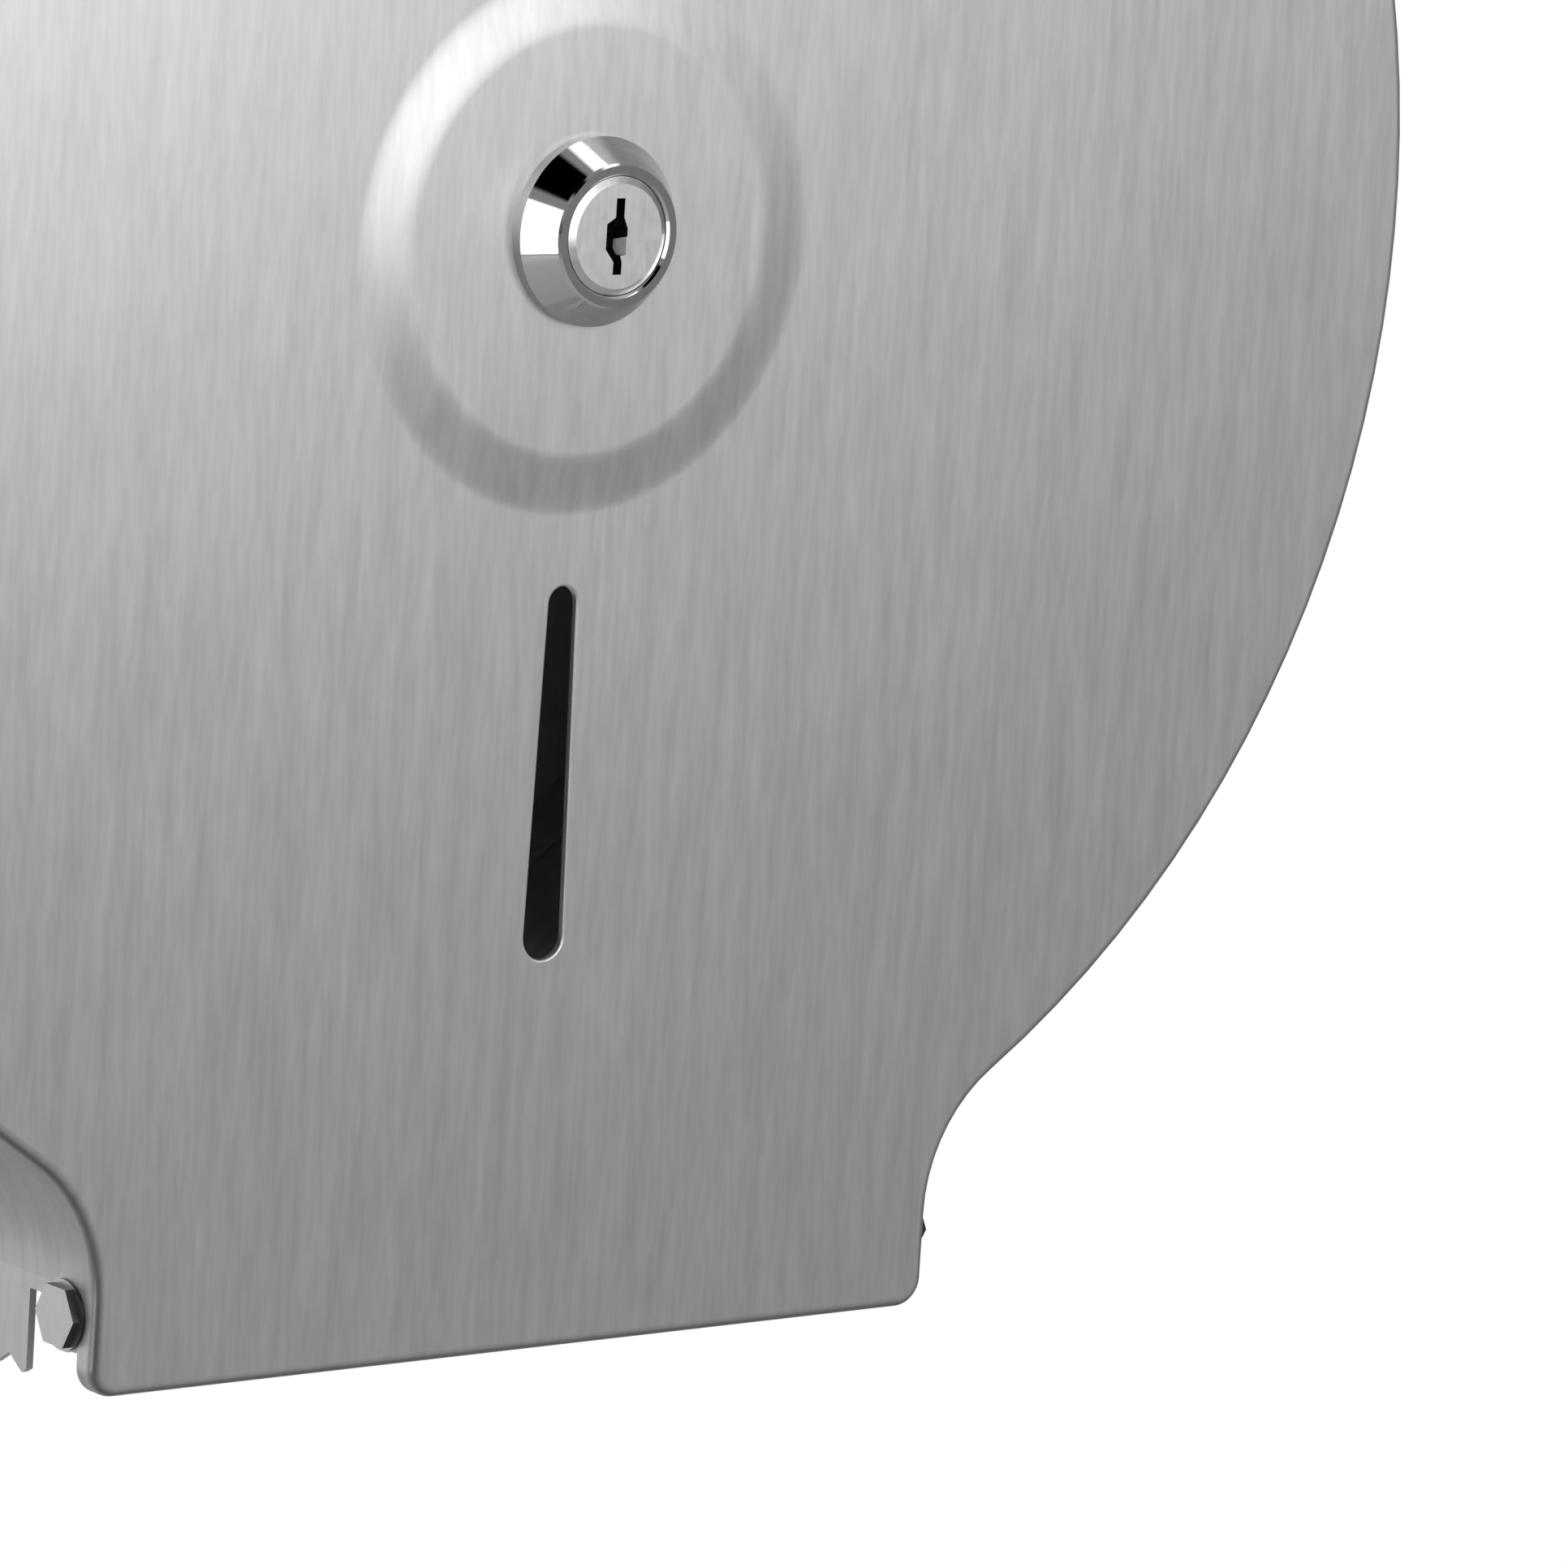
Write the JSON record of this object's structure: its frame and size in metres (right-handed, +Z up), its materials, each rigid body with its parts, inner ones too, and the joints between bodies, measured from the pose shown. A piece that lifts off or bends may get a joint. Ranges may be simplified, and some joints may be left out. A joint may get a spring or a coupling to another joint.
{
  "type": "jumbo toilet roll dispenser",
  "caption": "Wall-mounted round steel dispenser for jumbo toilet rolls, with a hinged locking front cover, sight slot, toothed lower edges and a turning hub.",
  "frame": {"origin": "on the drum's axis at the wall, in the middle of the four wall screw slots", "axes": "+X right seen from the front, +Y into the wall so that the front faces -Y, +Z up"},
  "size_m": [0.27, 0.127, 0.2783],
  "materials": {
    "cover_sheet": "vertically brushed stainless sheet",
    "band_sheet": "stainless sheet brushed round the drum",
    "back_sheet": "mill finish stainless sheet",
    "spindle_steel": "satin",
    "lock_chrome": "polished",
    "plug_steel": "satin",
    "zinc_steel": "bright zinc plate",
    "spring_steel": "black oxide",
    "wafer_brass": "stamped",
    "hub_plastic": "moulded",
    "nylon": "natural nylon"
  },
  "bodies": {
    "case": {"back_plate": "back_sheet", "band": "band_sheet", "spindle_flange": "spindle_steel", "spindle_rivets": "zinc_steel", "spindle_tube": "spindle_steel", "strike_plate": "spindle_steel", "rear_washer": "nylon", "front_washer": "nylon", "circlip": "spring_steel", "hinge_bolts": "zinc_steel", "hinge_nuts": "zinc_steel", "hinge_washers": "nylon"},
    "cover": {"cover": "cover_sheet", "lock_housing": "lock_chrome", "lock_nut": "zinc_steel", "lock_washer": "spring_steel"},
    "plug": {"lock_plug": "plug_steel", "lock_wafers": "wafer_brass", "stop_washer": "zinc_steel", "lock_cam": "zinc_steel", "cam_washer": "zinc_steel", "cam_screw": "zinc_steel"},
    "hub": {"roll_hub": "hub_plastic"}
  },
  "joints": [
    {"name": "cover_hinge", "type": "hinge", "parent": "case", "child": "cover", "pos_m": [0, -0.1135, -0.1332], "axis": [1, 0, 0], "range_deg": [0, 92]},
    {"name": "lock_turn", "type": "hinge", "parent": "cover", "child": "plug", "pos_m": [0, -0.1135, 0.0014], "axis": [0, 1, 0], "range_deg": [0, 90]},
    {"name": "hub_spin", "type": "hinge", "parent": "case", "child": "hub", "pos_m": [0, -0.05, 0], "axis": [0, 1, 0], "continuous": true}
  ]
}
